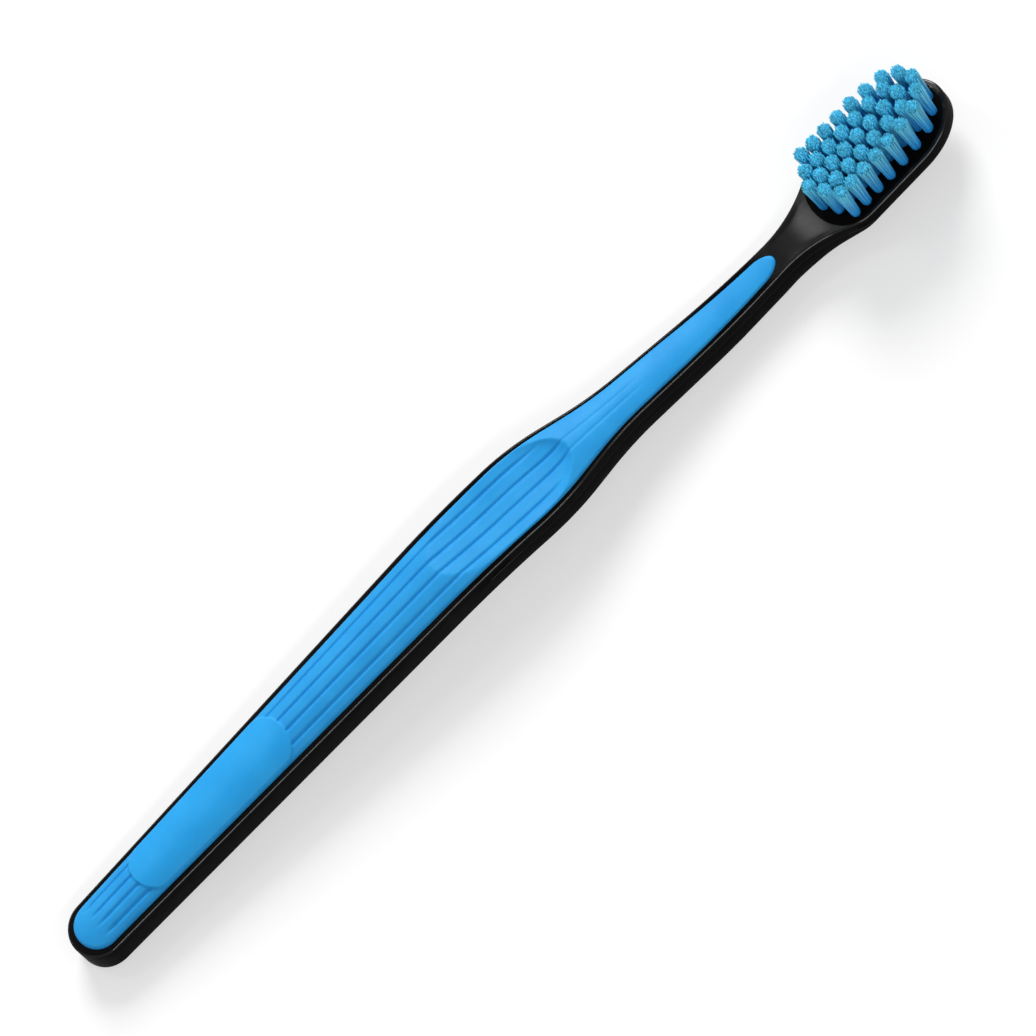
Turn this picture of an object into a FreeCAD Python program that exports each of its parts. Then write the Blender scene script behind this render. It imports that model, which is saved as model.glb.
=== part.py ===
# A plain manual toothbrush lying on its back, bristles up: a hard handle moulding with a soft grip set into
# its front, and tufts of filament that small metal anchors hold in blind holes in the head.
# While it is drawn, X runs from the tail (0) to the toe, Y across the brush and Z up from the table, in mm.
import FreeCAD, Part
import math
import os

V = FreeCAD.Vector

# Lengths of the zones along the brush, from the tail
TAIL_TO_THUMB = 102.6       # tail end to the handle's widest corner
SHOULDER_LENGTH = 14.6      # widest corner to the start of the neck
NECK_LENGTH = 40.8          # slow taper of the neck
HEEL_LENGTH = 9.2           # where the neck opens out into the head
HEAD_SIDE_LENGTH = 12.8     # straight sides of the head
TOE_LENGTH = 10.0           # elliptical toe

# Full widths of the outline at its corners, and how those corners are rounded
TAIL_WIDTH = 9.9
THUMB_WIDTH = 14.2
NECK_START_WIDTH = 8.25
NECK_END_WIDTH = 5.5
HEAD_WIDTH = 13.8
THUMB_RADIUS = 50.0
NECK_START_RADIUS = 60.0
HEEL_RADIUS = 24.0
HEAD_CORNER_RADIUS = 7.0

# Side view: the rim line rises from the tail to a crest, dips at the neck and rises again to the toe
TAIL_RIM_HEIGHT = 6.25
CREST_HEIGHT = 12.75         # corner of the rim line, before rounding
DIP_HEIGHT = 6.11           # corner of the rim line, before rounding
TOE_RIM_HEIGHT = 8.95
CREST_BEFORE_THUMB = 12.3   # crest corner, back from the widest corner
DIP_BEFORE_HEEL = 15.1      # dip corner, back from the end of the neck
CREST_RADIUS = 122.0
DIP_RADIUS = 95.0
TAIL_THICKNESS = 6.55       # rim to the middle of the back, at the tail
CREST_THICKNESS = 7.25
NECK_THICKNESS = 6.75
HEAD_THICKNESS = 4.4
RAMP_BEFORE_HEEL = 1.2      # start of the ramp under the heel, back from the end of the neck
RAMP_LENGTH = 11.0
RAMP_RADIUS = 18.0
BACK_RADIUS = 26.0          # crown across the back
BACK_BEVEL = 0.6
RIM_BEVEL = 0.3

# Raised plateau that carries the tufts
PLATEAU_RISE = 0.3
PLATEAU_INSET = 0.7         # in from the head's sides and toe
PLATEAU_HEEL_LENGTH = 5.0   # elliptical heel of the plateau
PLATEAU_START = 4.4         # plateau's heel, on from the end of the neck
PLATEAU_BEVEL = 0.25

# Soft grip in its pocket
RIM = 1.0                   # black rim beside the grip, on the handle
NECK_RIM = 0.8              # black rim beside the grip, on the neck
TAIL_RIM = 1.35              # black rim behind the grip
POCKET_DEPTH = 1.6
TONGUE_GAP = 5.0            # tip of the grip's tongue to the end of the neck
TONGUE_TIP_LENGTH = 4.0
TONGUE_TIP_WIDTH = 3.9
TONGUE_TAPER_LENGTH = 18.0  # extra narrowing of the tongue before its tip
CROWN = 2.0                 # crown of the grip above the rim, on the handle
CROWN_TAIL_LENGTH = 10.0    # length over which the crown rises at the tail
NECK_CROWN = 1.1
TIP_CROWN = 0.55

# Smooth pad, thumb rest and grooves on the grip
PAD_START = 14.1
PAD_LENGTH = 33.55
PAD_END_LENGTH = 3.8        # elliptical ends of the pad
PAD_RISE = 0.22
PAD_OVERLAP = 0.1           # the pad's outline, out past the grip's sides
REST_BEFORE_THUMB = 7.2     # middle of the thumb rest, back from the widest corner
REST_DEPTH = 1.55
REST_RADIUS = 140.0
GROOVE_WIDTH = 0.8
GROOVE_FLOOR = 0.25         # width of a groove's floor
GROOVE_DEPTH = 0.26
GROOVE_START = 4.6
INNER_GROOVE_SHARE = 0.22    # place across, as a share of the grip's half width
OUTER_GROOVE_SHARE = 0.66
INNER_GROOVE_BEYOND = 22.0  # end of the groove, past the widest corner
OUTER_GROOVE_BEYOND = 4.5
GROOVE_FADE = 2.5           # length over which a groove runs out

# Tufts, holes and anchors
ROW_PITCH = 2.36
TUFT_ROWS = (               # place across, number, first after the end of the neck, last before the toe, draw in
    (-2, 7, 9.05, 5.7, 1.0),
    (-1, 8, 7.6, 3.4, 0.2),
    (0, 9, 6.35, 2.3, 0.0),
    (1, 8, 7.6, 3.4, 0.2),
    (2, 7, 9.05, 5.7, 1.0),
)
TOE_SPREAD = 0.15           # tufts stand a little wider apart towards the toe
DRAW_IN_CURVE = 4           # the outer rows draw in close to the toe only
HOLE_RADIUS = 0.86          # to the corners of the many-sided hole
HOLE_DEPTH = 2.8
HOLE_CLEARANCE = 0.02
TUFT_LEAN = 4.5             # degrees from the sloping face's normal towards the toe, so tufts stand upright
TUFT_HEIGHT = 9.8           # free length at the heel
TUFT_TOE_GAIN = 1.2         # extra free length at the toe
TUFT_GAIN_CURVE = 1.5       # most of that gain comes near the toe
TUFT_TIP_RADIUS = 1.24
TUFT_TOP_RADIUS = 0.9      # flat middle of the trimmed end
TUFT_DOME = 0.35
FLUTES = 6
FLUTE_SHARE = 0.1           # depth of a flute, as a share of the tuft's radius
FOLD = 0.5                  # filament folded under the anchor
ANCHOR_HEIGHT = 1.5
ANCHOR_THICKNESS = 0.28
ANCHOR_ANGLE = 30.0

# Places along the brush that follow from the lengths above
THUMB_X = TAIL_TO_THUMB
NECK_START_X = THUMB_X + SHOULDER_LENGTH
NECK_END_X = NECK_START_X + NECK_LENGTH
HEAD_START_X = NECK_END_X + HEEL_LENGTH
TOE_START_X = HEAD_START_X + HEAD_SIDE_LENGTH
LENGTH = TOE_START_X + TOE_LENGTH
CREST_X = THUMB_X - CREST_BEFORE_THUMB
DIP_X = NECK_END_X - DIP_BEFORE_HEEL
TONGUE_TIP_X = NECK_END_X - TONGUE_GAP
REST_X = THUMB_X - REST_BEFORE_THUMB
OVERRUN = 6.0               # helper shapes reach this far past the brush
SIDE_REACH = 0.6 * max(THUMB_WIDTH, HEAD_WIDTH)
SKY = 60.0                  # height of helper shapes
ROUNDED_SHARE = 0.98        # most of a straight run that the roundings at its ends may take


def rounded_path(corners, radii):
    """Edges of an open path through the corners, each inner corner rounded by a tangent arc."""
    steps = [b.sub(a) for a, b in zip(corners, corners[1:])]
    ways = [V(step).normalize() for step in steps]
    turns = [ways[i].getAngle(ways[i + 1]) for i in range(len(radii))]
    cuts = [0.0] + [r * math.tan(t / 2) for r, t in zip(radii, turns)] + [0.0]
    for i, step in enumerate(steps):
        need = cuts[i] + cuts[i + 1]
        room = ROUNDED_SHARE * step.Length
        if need > room:
            cuts[i] *= room / need
            cuts[i + 1] *= room / need
    edges = []
    start = corners[0]
    for i, turn in enumerate(turns):
        corner = corners[i + 1]
        radius = cuts[i + 1] / math.tan(turn / 2)
        first = corner - ways[i] * cuts[i + 1]
        last = corner + ways[i + 1] * cuts[i + 1]
        inward = V(ways[i + 1] - ways[i]).normalize()
        middle = corner + inward * (radius / math.cos(turn / 2) - radius)
        edges.append(Part.makeLine(start, first))
        edges.append(Part.Arc(first, middle, last).toShape())
        start = last
    edges.append(Part.makeLine(start, corners[-1]))
    return edges


def height_on(path, x):
    """Height of a side-view path at one place along the brush."""
    for edge in path:
        box = edge.BoundBox
        if box.XMin - 1e-6 <= x <= box.XMax + 1e-6:
            a, b = edge.Vertexes[0].Point, edge.Vertexes[-1].Point
            if edge.Curve.TypeId == "Part::GeomLine":
                return a.z + (b.z - a.z) * (x - a.x) / (b.x - a.x)
            centre, radius = edge.Curve.Center, edge.Curve.Radius
            side = 1 if a.z > centre.z else -1
            return centre.z + side * math.sqrt(radius ** 2 - (x - centre.x) ** 2)


def rim_line(shift):
    """Side-view line of the rim, moved up or down."""
    rise = (CREST_HEIGHT - TAIL_RIM_HEIGHT) / CREST_X
    climb = (TOE_RIM_HEIGHT - DIP_HEIGHT) / (LENGTH - DIP_X)
    corners = [
        V(-OVERRUN, 0, TAIL_RIM_HEIGHT - rise * OVERRUN + shift),
        V(CREST_X, 0, CREST_HEIGHT + shift),
        V(DIP_X, 0, DIP_HEIGHT + shift),
        V(LENGTH + OVERRUN, 0, TOE_RIM_HEIGHT + climb * OVERRUN + shift),
    ]
    return rounded_path(corners, [CREST_RADIUS, DIP_RADIUS])


def back_line():
    """Side-view line of the back, thickest under the crest, with a ramp up to the thinner head."""
    tail = TAIL_RIM_HEIGHT - TAIL_THICKNESS
    crest = CREST_HEIGHT - CREST_THICKNESS
    rise = (crest - tail) / CREST_X
    climb = (TOE_RIM_HEIGHT - DIP_HEIGHT) / (LENGTH - DIP_X)
    ramp_start = NECK_END_X - RAMP_BEFORE_HEEL
    ramp_end = ramp_start + RAMP_LENGTH
    corners = [
        V(-OVERRUN, 0, tail - rise * OVERRUN),
        V(CREST_X, 0, crest),
        V(DIP_X, 0, DIP_HEIGHT - NECK_THICKNESS),
        V(ramp_start, 0, DIP_HEIGHT + climb * (ramp_start - DIP_X) - NECK_THICKNESS),
        V(ramp_end, 0, DIP_HEIGHT + climb * (ramp_end - DIP_X) - HEAD_THICKNESS),
        V(LENGTH + OVERRUN, 0, TOE_RIM_HEIGHT + climb * OVERRUN - HEAD_THICKNESS),
    ]
    return rounded_path(corners, [CREST_RADIUS, DIP_RADIUS, RAMP_RADIUS, RAMP_RADIUS])


def rim_height(x, y):
    """Height of the rim, level across the brush."""
    return height_on(rim_line(0), x)


def back_height(x, y):
    """Height of the crowned back."""
    return height_on(back_line(), x) + y ** 2 / (2 * BACK_RADIUS)


def between(lower, upper):
    """Solid across the whole width between two side-view paths."""
    low_start, low_end = lower[0].Vertexes[0].Point, lower[-1].Vertexes[-1].Point
    high_start, high_end = upper[0].Vertexes[0].Point, upper[-1].Vertexes[-1].Point
    ends = [Part.makeLine(low_end, high_end), Part.makeLine(high_start, low_start)]
    face = Part.Face(Part.Wire(Part.__sortEdges__(lower + upper + ends)))
    face.translate(V(0, -SKY / 2, 0))
    return face.extrude(V(0, SKY, 0))


def level(z):
    """Side-view path at one height."""
    return [Part.makeLine(V(-OVERRUN, 0, z), V(LENGTH + OVERRUN, 0, z))]


def spread(stations, height):
    """Smooth surface through height(x, y), wider than the brush."""
    across = [SIDE_REACH * share for share in (-1, -0.5, 0, 0.5, 1)]
    grid = [[V(x, y, height(x, y)) for y in across] for x in stations]
    surface = Part.BSplineSurface()
    surface.interpolate(grid)
    return surface.toShape()


def closed_outline(half, tail_arc, tip_arc):
    """Face inside a half outline, its mirror image and the two end arcs."""
    mirrored = [edge.mirror(V(0, 0, 0), V(0, 1, 0)) for edge in half]
    return Part.Face(Part.Wire(Part.__sortEdges__(half + mirrored + [tail_arc, tip_arc])))


def tail_end(radius, x, side_point):
    """Tail arc about the axis, and the point where a line to side_point leaves it smoothly."""
    centre = V(x + radius, 0, 0)
    reach = side_point - centre
    angle = math.atan2(reach.y, reach.x) + math.acos(radius / reach.Length)
    leave = centre + V(math.cos(angle), math.sin(angle), 0) * radius
    mirror = V(leave.x, -leave.y, 0)
    return Part.Arc(leave, V(x, 0, 0), mirror).toShape(), leave


def half_ellipse(x, length, half_width):
    """Half ellipse that closes an outline towards the toe, or towards the tail for a negative length."""
    turn = 0 if length > 0 else math.pi
    if abs(length) >= half_width:
        curve = Part.Ellipse(V(x, 0, 0), abs(length), half_width)
        return Part.ArcOfEllipse(curve, turn - math.pi / 2, turn + math.pi / 2).toShape()
    curve = Part.Ellipse(V(x, half_width, 0), V(x + abs(length), 0, 0), V(x, 0, 0))
    return Part.ArcOfEllipse(curve, turn, turn + math.pi).toShape()


def body_outline():
    """Plan outline of handle, neck and head."""
    thumb = V(THUMB_X, THUMB_WIDTH / 2, 0)
    tail_arc, leave = tail_end(TAIL_WIDTH / 2, 0, thumb)
    corners = [
        leave,
        thumb,
        V(NECK_START_X, NECK_START_WIDTH / 2, 0),
        V(NECK_END_X, NECK_END_WIDTH / 2, 0),
        V(HEAD_START_X, HEAD_WIDTH / 2, 0),
        V(TOE_START_X, HEAD_WIDTH / 2, 0),
    ]
    half = rounded_path(corners, [THUMB_RADIUS, NECK_START_RADIUS, HEEL_RADIUS, HEAD_CORNER_RADIUS])
    return closed_outline(half, tail_arc, half_ellipse(TOE_START_X, TOE_LENGTH, HEAD_WIDTH / 2))


def neck_half_width(x):
    """Half width of the neck's straight taper."""
    share = (x - NECK_START_X) / NECK_LENGTH
    return (NECK_START_WIDTH + (NECK_END_WIDTH - NECK_START_WIDTH) * share) / 2


def grip_outline():
    """Plan outline of the grip and its pocket: the handle's outline less the rim, with a rounded tongue."""
    thumb = V(THUMB_X, THUMB_WIDTH / 2 - RIM, 0)
    tail_arc, leave = tail_end(TAIL_WIDTH / 2 - RIM, TAIL_RIM, thumb)
    tip_x = TONGUE_TIP_X - TONGUE_TIP_LENGTH
    taper_x = tip_x - TONGUE_TAPER_LENGTH
    corners = [
        leave,
        thumb,
        V(NECK_START_X, NECK_START_WIDTH / 2 - NECK_RIM, 0),
        V(taper_x, neck_half_width(taper_x) - NECK_RIM, 0),
        V(tip_x, TONGUE_TIP_WIDTH / 2, 0),
    ]
    half = rounded_path(corners, [THUMB_RADIUS, NECK_START_RADIUS, NECK_START_RADIUS])
    return closed_outline(half, tail_arc, half_ellipse(tip_x, TONGUE_TIP_LENGTH, TONGUE_TIP_WIDTH / 2))


def prism(outline):
    """Outline drawn up from below the table to well above the brush."""
    face = outline.copy()
    face.translate(V(0, 0, -SKY / 2))
    return face.extrude(V(0, 0, 2 * SKY))


def border(solid, height):
    """Edges that run round a solid on a surface given by height(x, y), without the seams across it."""
    near = 0.01
    found = []
    for edge in solid.Edges:
        middle = edge.valueAt((edge.FirstParameter + edge.LastParameter) / 2)
        if edge.BoundBox.XLength > near and abs(middle.z - height(middle.x, middle.y)) < near:
            found.append(edge)
    return found


def head_place():
    """Placement of the head's own frame: at the dip corner, X along the face, Z out of the face."""
    slope = math.degrees(math.atan2(TOE_RIM_HEIGHT - DIP_HEIGHT, LENGTH - DIP_X))
    return FreeCAD.Placement(V(DIP_X, 0, DIP_HEIGHT), FreeCAD.Rotation(V(0, 1, 0), -slope))


def plateau():
    """Low raised field for the tufts, in the head's own frame, sunk a little for a sure join."""
    half_width = HEAD_WIDTH / 2 - PLATEAU_INSET
    heel_x = NECK_END_X + PLATEAU_START + PLATEAU_HEEL_LENGTH - DIP_X
    toe_x = TOE_START_X - DIP_X
    half = [Part.makeLine(V(heel_x, half_width, 0), V(toe_x, half_width, 0))]
    heel = half_ellipse(heel_x, -PLATEAU_HEEL_LENGTH, half_width)
    toe = half_ellipse(toe_x, TOE_LENGTH - PLATEAU_INSET, half_width)
    block = closed_outline(half, heel, toe).extrude(V(0, 0, PLATEAU_RISE + HEAD_THICKNESS / 2))
    block.translate(V(0, 0, -HEAD_THICKNESS / 2))
    top_edges = [edge for edge in block.Edges if edge.BoundBox.ZMin > PLATEAU_RISE - 1e-6]
    return block.makeChamfer(PLATEAU_BEVEL, top_edges)


def crown(extra):
    """Solid under the grip's crowned surface, raised by extra; the crown meets the rim at the handle's sides."""
    start = TAIL_RIM / 2
    end = TONGUE_TIP_X + TONGUE_TIP_LENGTH
    count = 60
    crowding = 1.3   # stations lie closer near the tail, where the crown rises fastest
    stations = [start + (end - start) * (i / count) ** crowding for i in range(count + 1)]
    surface = spread(stations, lambda x, y: crown_height(x, y) + extra)
    return surface.extrude(V(0, 0, -SKY / 2))


def crown_height(x, y):
    """Height of the grip's crowned surface."""
    return rim_height(x, y) + crown_rise(x) * (1 - (y / outline_half_width(x)) ** 2)


def outline_half_width(x):
    """Half width between the outline's corners, without their rounding or the tail's round end."""
    if x < THUMB_X:
        return (TAIL_WIDTH + (THUMB_WIDTH - TAIL_WIDTH) * x / THUMB_X) / 2
    if x < NECK_START_X:
        return (THUMB_WIDTH + (NECK_START_WIDTH - THUMB_WIDTH) * (x - THUMB_X) / SHOULDER_LENGTH) / 2
    return neck_half_width(x)


def crown_rise(x):
    """Height of the grip's crown over the rim, along its middle."""
    if x < CROWN_TAIL_LENGTH:
        return CROWN * math.sqrt(1 - (1 - x / CROWN_TAIL_LENGTH) ** 2)
    if x < THUMB_X:
        return CROWN
    if x < NECK_START_X:
        return CROWN + (NECK_CROWN - CROWN) * (x - THUMB_X) / SHOULDER_LENGTH
    return NECK_CROWN + (TIP_CROWN - NECK_CROWN) * (x - NECK_START_X) / (TONGUE_TIP_X - NECK_START_X)


def rest_centre():
    """Middle of the large ball that hollows the thumb rest."""
    low = rim_height(REST_X, 0) + CROWN - REST_DEPTH
    return V(REST_X, 0, low + REST_RADIUS)


def grip_height(x, y):
    """Height of the grip's surface, with the thumb rest but without grooves and pad."""
    centre = rest_centre()
    reach = REST_RADIUS ** 2 - (x - centre.x) ** 2 - y ** 2
    return min(crown_height(x, y), centre.z - math.sqrt(reach))


def groove(share, end_x):
    """Tapered groove that follows the grip's surface at a share of its half width and runs out at both ends."""
    straight_end = rim_line(0)[0].Vertexes[-1].X
    bent_run = end_x - GROOVE_FADE - straight_end
    count = 10
    stations = [GROOVE_START, GROOVE_START + GROOVE_FADE, CROWN_TAIL_LENGTH]
    stations += [straight_end + bent_run * i / count for i in range(count + 1)]
    stations.append(end_x)
    sections = []
    for x in stations:
        y = share * (outline_half_width(x) - RIM)
        depth = 0.0 if x in (GROOVE_START, end_x) else GROOVE_DEPTH
        top = grip_height(x, y) + 2 * GROOVE_DEPTH
        widening = GROOVE_WIDTH / 2 + (GROOVE_WIDTH - GROOVE_FLOOR)
        low = grip_height(x, y) - depth
        corners = [
            V(x, y - GROOVE_FLOOR / 2, low),
            V(x, y + GROOVE_FLOOR / 2, low),
            V(x, y + widening, top),
            V(x, y - widening, top),
        ]
        sections.append(Part.makePolygon(corners + corners[:1]))
    return Part.makeLoft(sections, True, True)


def pad():
    """Smooth pad, a little wider than the grip, with elliptical ends, standing just over the ribs."""
    start = PAD_START + PAD_END_LENGTH
    end = PAD_START + PAD_LENGTH - PAD_END_LENGTH
    start_half = outline_half_width(start) - RIM + PAD_OVERLAP
    end_half = outline_half_width(end) - RIM + PAD_OVERLAP
    half = [Part.makeLine(V(start, start_half, 0), V(end, end_half, 0))]
    first = half_ellipse(start, -PAD_END_LENGTH, start_half)
    last = half_ellipse(end, PAD_END_LENGTH, end_half)
    return prism(closed_outline(half, first, last))


def make_grip():
    """Grip: crowned blank with the thumb rest, grooves and pad."""
    blank = prism(grip_outline()).common(between(rim_line(-POCKET_DEPTH), level(SKY)))
    grip = blank.common(crown(0))
    grip = grip.cut(Part.makeSphere(REST_RADIUS, rest_centre()))
    for side in (-1, 1):
        grip = grip.cut(groove(side * INNER_GROOVE_SHARE, THUMB_X + INNER_GROOVE_BEYOND))
        grip = grip.cut(groove(side * OUTER_GROOVE_SHARE, THUMB_X + OUTER_GROOVE_BEYOND))
    raised = blank.common(crown(PAD_RISE)).common(pad())
    return grip.fuse(raised).removeSplitter()


def tuft_places():
    """Row, number in the row and place on the face (head's own frame) of each tuft."""
    places = []
    for across, count, first, before_toe, draw_in in TUFT_ROWS:
        start = NECK_END_X + first - DIP_X
        run = LENGTH - before_toe - DIP_X - start
        for i in range(count):
            share = i / (count - 1)
            x = start + run * (share - TOE_SPREAD * share * (1 - share))
            y = across * ROW_PITCH - math.copysign(draw_in, across) * share ** DRAW_IN_CURVE
            places.append((across, i + 1, V(x, y, PLATEAU_RISE)))
    return places


def ring(radius, z, flute_share):
    """Corners of a many-sided outline, every second one drawn in, with two sides square to the anchor."""
    corners = []
    for i in range(2 * FLUTES):
        angle = math.radians(ANCHOR_ANGLE) + math.pi * (i + 0.5) / FLUTES
        r = radius if i % 2 == 0 else radius * (1 - flute_share)
        corners.append(V(r * math.cos(angle), r * math.sin(angle), z))
    return corners


def flat_face(corners):
    """Flat face with the given corners."""
    return Part.Face(Part.makePolygon(corners + corners[:1]))


def stacked(sections):
    """Solid with flat sides through similar outlines, one above another."""
    faces = [flat_face(sections[0]), flat_face(sections[-1])]
    for low, high in zip(sections, sections[1:]):
        for i in range(len(low)):
            faces.append(flat_face([low[i - 1], low[i], high[i], high[i - 1]]))
    return Part.makeSolid(Part.makeShell(faces))


def hole():
    """Blind hole for a tuft, in the tuft's own frame, drawn on past the face."""
    return stacked([ring(HOLE_RADIUS, -HOLE_DEPTH, 0), ring(HOLE_RADIUS, OVERRUN, 0)])


def anchor():
    """Anchor plate across the fold of a tuft, jammed between two walls of its hole, in the tuft's own frame."""
    length = 2 * HOLE_RADIUS * math.cos(math.pi / (2 * FLUTES))
    plate = Part.makeBox(length, ANCHOR_THICKNESS, ANCHOR_HEIGHT)
    plate.translate(V(-length / 2, -ANCHOR_THICKNESS / 2, FOLD - HOLE_DEPTH))
    plate.rotate(V(0, 0, 0), V(0, 0, 1), ANCHOR_ANGLE)
    return plate


def tuft(height):
    """Bundle of filaments in its own frame: stem in the hole, splayed above the face, rounded over at the tips."""
    stem = HOLE_RADIUS - HOLE_CLEARANCE
    bundle = stacked([
        ring(stem, -HOLE_DEPTH, FLUTE_SHARE),
        ring(stem, 0, FLUTE_SHARE),
        ring(TUFT_TIP_RADIUS, height - TUFT_DOME, FLUTE_SHARE),
        ring(TUFT_TOP_RADIUS, height, FLUTE_SHARE),
    ])
    return bundle.cut(anchor())


def tuft_height(x):
    """Free length of a tuft at one place along the face (head's own frame)."""
    start = HEAD_START_X - DIP_X
    share = (x - start) / (LENGTH - HEAD_START_X)
    return TUFT_HEIGHT + TUFT_TOE_GAIN * max(0.0, share) ** TUFT_GAIN_CURVE


def make_body():
    """Handle, neck and head in one moulding, without its pocket and holes."""
    count = 64
    stations = [-OVERRUN + (LENGTH + 2 * OVERRUN) * i / count for i in range(count + 1)]
    over_back = spread(stations, back_height).extrude(V(0, 0, SKY))
    body = prism(body_outline()).common(over_back).common(between(level(-SKY / 2), rim_line(0)))
    body = body.makeChamfer(RIM_BEVEL, border(body, rim_height))
    body = body.makeChamfer(BACK_BEVEL, border(body, back_height))
    table = Part.makeBox(LENGTH + 2 * OVERRUN, SKY, SKY, V(-OVERRUN, -SKY / 2, -SKY))
    body = body.cut(table)
    raised = plateau()
    raised.Placement = head_place()
    return body.fuse(raised)


def main():
    os.makedirs("parts", exist_ok=True)
    head = head_place()
    lean = FreeCAD.Rotation(V(0, 1, 0), TUFT_LEAN)
    nodes = {}
    body = make_body()
    body = body.cut(prism(grip_outline()).common(between(rim_line(-POCKET_DEPTH), level(SKY))))
    nodes["grip"] = make_grip()
    anchors = []
    tools = []
    for across, number, place in tuft_places():
        spot = head.multiply(FreeCAD.Placement(place, lean))
        bundle = tuft(tuft_height(place.x))
        bundle.Placement = spot
        nodes["tuft_row%d_%d" % (across + 3, number)] = bundle
        holder = anchor()
        holder.Placement = spot.multiply(holder.Placement)
        anchors.append(holder)
        bore = hole()
        bore.Placement = spot.multiply(bore.Placement)
        tools.append(bore)
    nodes["handle_body"] = body.cut(tools).removeSplitter()
    nodes["tuft_anchors"] = Part.makeCompound(anchors)
    for name, shape in nodes.items():
        shape.translate(V(-LENGTH / 2, 0, 0))
        shape.exportStep("parts/%s.step" % name)
        print(name, len(shape.Solids), round(shape.Volume, 2), shape.isValid())


main()
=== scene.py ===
import math
import random

import bmesh
import bpy
from mathutils import Matrix, Vector


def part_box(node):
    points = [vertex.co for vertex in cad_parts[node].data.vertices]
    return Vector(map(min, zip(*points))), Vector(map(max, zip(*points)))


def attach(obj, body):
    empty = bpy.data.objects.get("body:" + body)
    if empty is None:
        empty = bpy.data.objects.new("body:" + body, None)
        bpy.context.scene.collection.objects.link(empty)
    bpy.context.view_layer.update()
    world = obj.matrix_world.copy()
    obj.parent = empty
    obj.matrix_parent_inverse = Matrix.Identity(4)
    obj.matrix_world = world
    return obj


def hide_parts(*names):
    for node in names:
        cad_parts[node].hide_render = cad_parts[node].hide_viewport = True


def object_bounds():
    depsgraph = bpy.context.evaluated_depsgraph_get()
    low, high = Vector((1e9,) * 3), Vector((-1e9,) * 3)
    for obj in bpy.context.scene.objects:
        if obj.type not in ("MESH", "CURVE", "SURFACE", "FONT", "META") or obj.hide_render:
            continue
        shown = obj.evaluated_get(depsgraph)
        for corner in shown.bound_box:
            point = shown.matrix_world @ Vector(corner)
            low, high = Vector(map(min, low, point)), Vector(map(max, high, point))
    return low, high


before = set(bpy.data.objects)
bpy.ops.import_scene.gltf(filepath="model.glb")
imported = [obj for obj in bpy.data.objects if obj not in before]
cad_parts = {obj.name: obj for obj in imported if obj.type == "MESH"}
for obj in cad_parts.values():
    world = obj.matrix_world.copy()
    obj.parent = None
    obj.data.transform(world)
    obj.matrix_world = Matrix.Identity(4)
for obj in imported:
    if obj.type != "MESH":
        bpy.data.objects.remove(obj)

cad_low, cad_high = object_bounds()

# Handle body: one hard black polypropylene moulding that is handle, neck and head together.
# Its steel mould leaves matte sides, a polished front and rim, and a fine seam round the sides.
# Sizes are in millimetres, with X from the tail to the toe.
MM = 0.001
body_low, body_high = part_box("handle_body")
LENGTH = (body_high.x - body_low.x) / MM
TAIL_RADIUS = 4.95
THUMB_X = 102.6
NECK_START_X = 117.2
NECK_END_X = 158.0
HEAD_START_X = 167.2
TOE_START_X = 180.0
THUMB_HALF = 7.1
NECK_START_HALF = 4.125
NECK_END_HALF = 2.75
HEAD_HALF = 6.9
THUMB_ROUND = 50.0
NECK_START_ROUND = 60.0
HEEL_ROUND = 24.0
HEAD_ROUND = 7.0
CREST_X = 90.3
DIP_X = 142.9
TAIL_RIM_HEIGHT = 6.25
CREST_HEIGHT = 12.75
DIP_HEIGHT = 6.11
TOE_RIM_HEIGHT = 8.95
CREST_ROUND = 122.0
DIP_ROUND = 95.0
TAIL_THICKNESS = 6.55
CREST_THICKNESS = 7.25
NECK_THICKNESS = 6.75
HEAD_THICKNESS = 4.4
RAMP_START_X = 156.8
RAMP_END_X = 167.8
RAMP_ROUND = 18.0
BACK_CROWN_RADIUS = 26.0
RIM_BEVEL_WIDTH = 0.3
RIM_BEVEL_DROP = 0.17
RIM_PROFILE = (        # shares of the bevel's width and drop, from the front over to the side
    (1.25, 0.0), (1.08, 0.02), (0.95, 0.09), (0.09, 0.95), (0.02, 1.08), (0.0, 1.25)
)
BACK_ROUND = 0.9
BACK_ROUND_STEPS = 6
SCOOP_START_X = 152.3
SCOOP_END_X = 163.3
SCOOP_DEPTH = 0.25
SCOOP_EDGE_POWER = 6   # keeps the scoop level across, nearly to the rim
TOE_LIP = 0.3          # how far the rim curls up at the toe
TOE_LIP_LENGTH = 7.0
SEAM_DROP = 2.3        # seam below the rim
SEAM_STEP = 0.1        # how far the lower half stands out at the seam
SEAM_PROFILE = ((1.0, 0.0), (0.35, 0.05), (0.0, 0.22))    # share of the step, and drop below the seam
SEAM_FADE_IN = (80, 100)
SEAM_FADE_OUT = (160, 172)
POCKET_DEPTH = 1.6
END_STEPS = 28         # points along each rounded end of an outline
SIDE_STEP = 0.45       # between the points along its sides
NUDGE = 0.01           # for slopes
FRONT_COLUMNS = 16
BACK_COLUMNS = 14
SHARP_DEGREES = 35
HEAD_SLOPE = math.atan2(TOE_RIM_HEIGHT - DIP_HEIGHT, LENGTH - DIP_X)


def smooth(value, start, end):
    """Soft step from 0 at start to 1 at end."""
    share = min(1.0, max(0.0, (value - start) / (end - start)))
    return share * share * (3 - 2 * share)


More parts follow.
